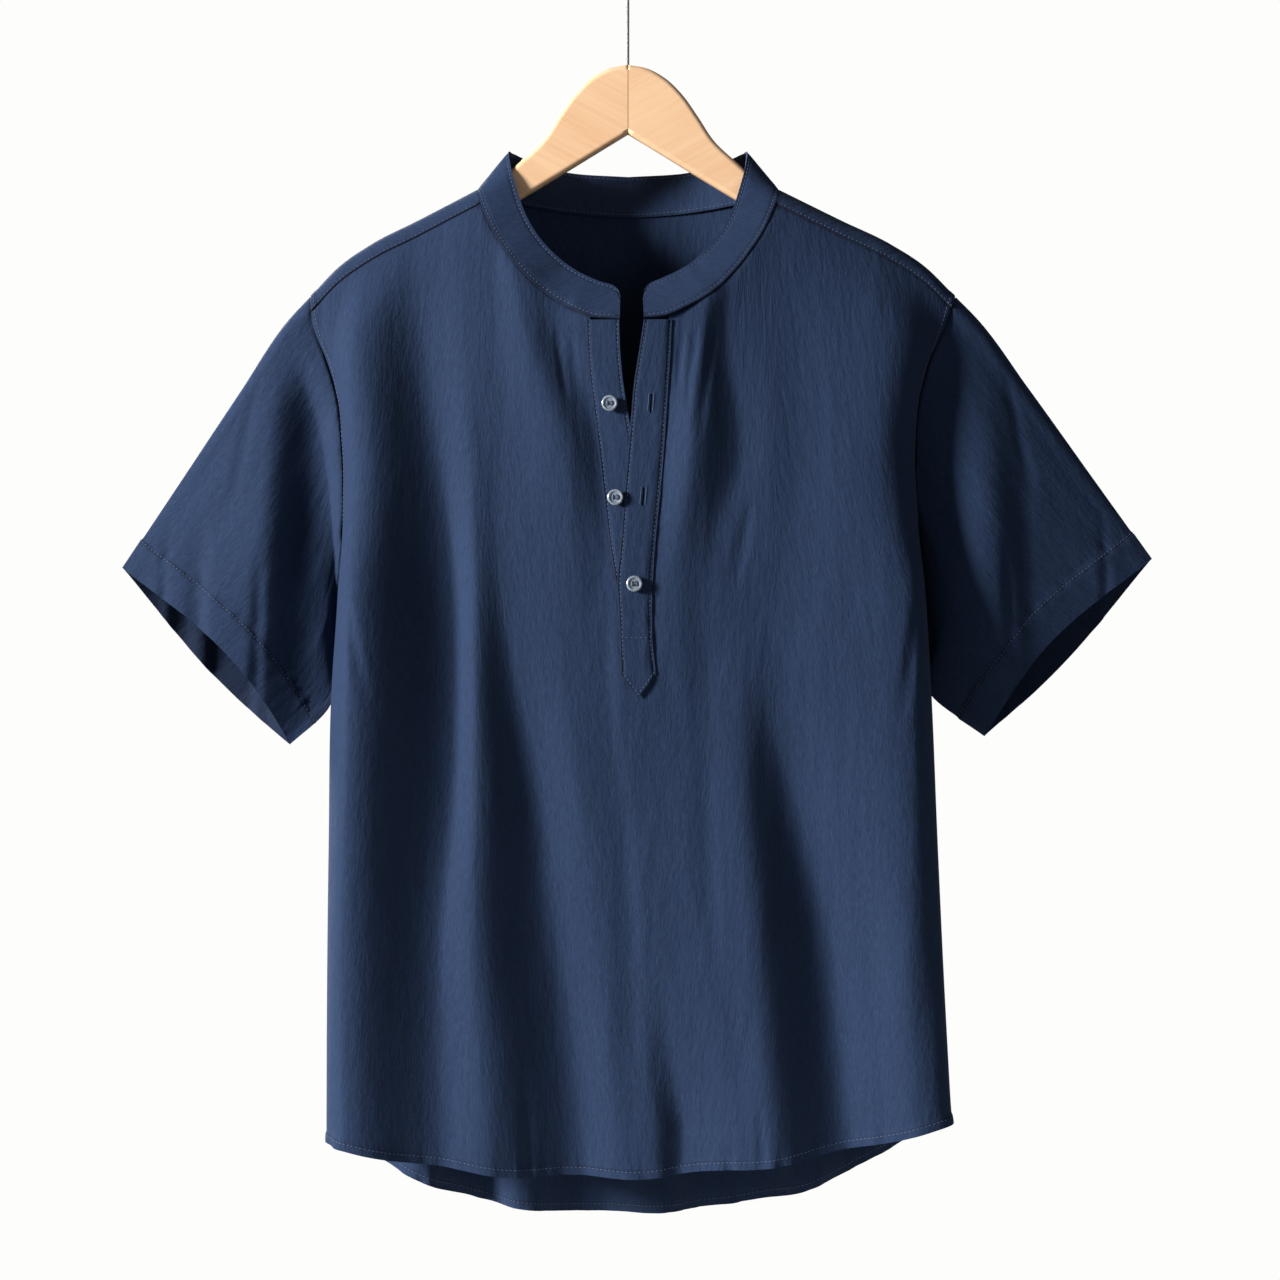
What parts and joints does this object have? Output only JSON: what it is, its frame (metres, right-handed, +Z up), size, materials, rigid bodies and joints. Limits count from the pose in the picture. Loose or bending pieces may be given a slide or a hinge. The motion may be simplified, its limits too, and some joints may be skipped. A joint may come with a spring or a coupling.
{
  "type": "short-sleeved band-collar shirt on a wooden hanger",
  "caption": "Short-sleeved woven shirt with a standing band collar, half placket and curved tail, hanging on a flat wooden hanger with a wire hook.",
  "frame": {"origin": "top of the inside of the hanger's hook, where a rod carries it", "axes": "+Z up, +X to the right as the front is seen, the front faces -Y"},
  "size_m": [0.7422, 0.127, 0.9292],
  "materials": {
    "cotton": "matte",
    "horn": "satin",
    "beech": "satin",
    "wire": "satin"
  },
  "bodies": {
    "root": {"front": "cotton", "back": "cotton", "sleeve_left": "cotton", "sleeve_right": "cotton", "neckband": "cotton", "placket_lower": "cotton", "placket_upper": "cotton", "button_1": "horn", "button_2": "horn", "button_3": "horn", "hanger_left": "beech", "hanger_right": "beech", "hook": "wire"}
  },
  "joints": []
}
